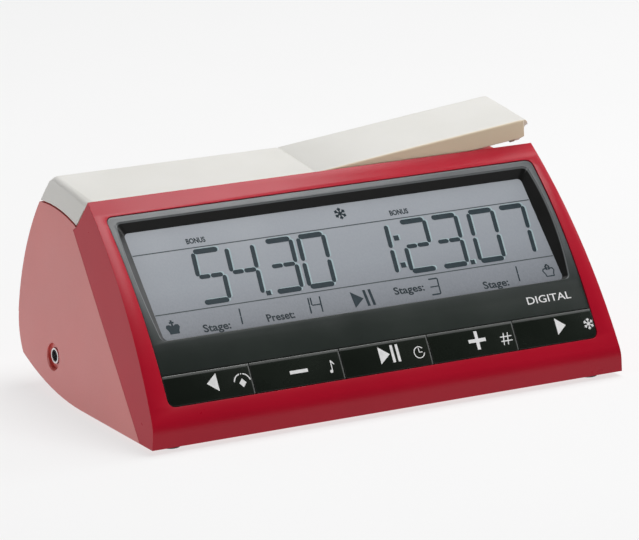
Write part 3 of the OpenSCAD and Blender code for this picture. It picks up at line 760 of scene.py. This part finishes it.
def build_lever():
    hollow, solid, pad = lever_loops()
    bm = bmesh.new()
    turn = Matrix.Rotation(-LEVER_TILT, 3, "Y")
    pivot = Vector((0, 0, PIVOT_Z))

    def station(x, loop, side, depth):
        made = []
        for p in sunk(loop, depth):
            q = Vector((side * (half_at(p.y) if x is None else x), p.x, p.y))
            if side > 0:
                q = turn @ (q - pivot) + pivot
            made.append(bm.verts.new(row(q.x, q.y, q.z)))
        return made

    def rounding(x):
        over = max(0.0, x - LEVER_END + END_ROUND)
        return END_ROUND - math.sqrt(max(0.0, END_ROUND ** 2 - over ** 2))

    stations = [(None, pad, END_ROUND)]
    stations += [(x, pad, rounding(x)) for x in (104.46, 104.33, 104.1, 103.7, 103.2, EAR_START)]
    stations += [(x, blend(solid, pad, k), rounding(x)) for x, k in ((102.3, 0.25), (102.0, 0.08))]
    stations += [(HOLLOW_END, solid, 0.0)]
    stations += [(x, hollow, 0.0) for x in (HOLLOW_END, 50.0, 1.3)]
    stations += [(0.9, hollow, GROOVE)]
    rings = [station(x, loop, -1, depth) for x, loop, depth in stations]
    rings += [station(x, loop, 1, depth) for x, loop, depth in reversed(stations)]
    weight = bm.edges.layers.float.new("bevel_weight_edge")
    count = len(hollow)
    for a, b in zip(rings, rings[1:]):
        for i in range(count):
            j = (i + 1) % count
            bm.faces.new((a[i], a[j], b[j], b[i]))
        for i, value in ((1, 0.75), (3, 1.0), (8, 0.4), (0, 0.4)):
            bm.edges.get((a[i], b[i]))[weight] = value
    for end in (rings[0], rings[-1]):
        bm.faces.new(end)
        for i in (0, *range(8, count)):
            bm.edges.get((end[i], end[(i + 1) % count]))[weight] = 0.25
    bmesh.ops.remove_doubles(bm, verts=bm.verts[:], dist=1e-7)
    bmesh.ops.dissolve_degenerate(bm, edges=bm.edges[:], dist=1e-7)
    for edge in bm.edges:
        edge.smooth = not (len(edge.link_faces) == 2 and edge.calc_face_angle(0) > math.radians(32))
    obj = make_piece("lever_cover", bm, IVORY, "lever", smooth=True)
    bevel = obj.modifiers.new("edges", "BEVEL")
    bevel.limit_method = "WEIGHT"
    bevel.width = 1.6 * MM
    bevel.segments = 5
    bevel.harden_normals = True
    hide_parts("rocker_lever")


build_lever()


# ---------------------------------------------------------------- floor, light and camera
def floor_plane():
    bm = bmesh.new()
    bmesh.ops.create_grid(bm, x_segments=8, y_segments=8, size=4)
    mesh = bpy.data.meshes.new("floor")
    bm.to_mesh(mesh)
    bm.free()
    floor = bpy.data.objects.new("floor", mesh)
    bpy.context.scene.collection.objects.link(floor)
    material, shader = new_material("pale_floor")
    n = Nodes(material)
    n.link(n.ramp(n.noise(n.coords(), 3, 3), [(0.3, (0.21, 0.21, 0.21)), (0.7, (0.22, 0.22, 0.22))]),
           shader.inputs["Base Color"])
    shader.inputs["Emission Color"].default_value = (1, 1, 1, 1)
    shader.inputs["Emission Strength"].default_value = TABLE_GLOW
    shader.inputs["Roughness"].default_value = 0.9
    shader.inputs["Specular IOR Level"].default_value = 0.1
    mesh.materials.append(material)


def soft_light(name, place, target, size, power):
    light = bpy.data.lights.new(name, "AREA")
    light.shape = "RECTANGLE"
    light.size, light.size_y = size
    light.energy = power
    obj = bpy.data.objects.new(name, light)
    bpy.context.scene.collection.objects.link(obj)
    obj.location = place
    obj.rotation_euler = (Vector(target) - Vector(place)).to_track_quat("-Z", "Y").to_euler()


# The table is a lit white panel, so the clock throws almost no shadow on it.
TABLE_GLOW = 0.69
LIGHTS = (
    # name, place, aimed at, size, power
    ("overhead", (0.42, 0.05, 1.6), (0.0, 0.0, 0.05), (1.5, 0.85), 28.0),
    ("right_side", (1.7, 0.2, 0.9), (0.0, 0.0, 0.05), (0.9, 0.9), 12.0),
    ("left_rear", (-1.6, 1.3, 0.6), (0.0, 0.0, 0.05), (1.0, 1.2), 4.0),
    ("left_side", (-1.7, -0.3, 0.8), (0.0, 0.0, 0.05), (0.9, 0.9), 5.0),
)
floor_plane()
for name, place, target, size, power in LIGHTS:
    soft_light(name, place, target, size, power)

world = bpy.data.worlds.new("studio")
bpy.context.scene.world = world
world.use_nodes = True
world.node_tree.nodes["Background"].inputs["Color"].default_value = (1.0, 1.0, 1.0, 1)
world.node_tree.nodes["Background"].inputs["Strength"].default_value = 0.06

CAMERA_PLACE = row(-772.8, -1279.5, 458.1)
CAMERA_AHEAD = Vector((0.48249, 0.83688, -0.25854))
camera_data = bpy.data.cameras.new("camera")
camera_data.lens = 219.0
camera_data.sensor_width = 36.0
camera_data.clip_end = 20
camera = bpy.data.objects.new("camera", camera_data)
bpy.context.scene.collection.objects.link(camera)
camera.location = CAMERA_PLACE
camera.rotation_euler = CAMERA_AHEAD.to_track_quat("-Z", "Y").to_euler()
bpy.context.scene.camera = camera
bpy.context.scene.view_settings.view_transform = "Standard"
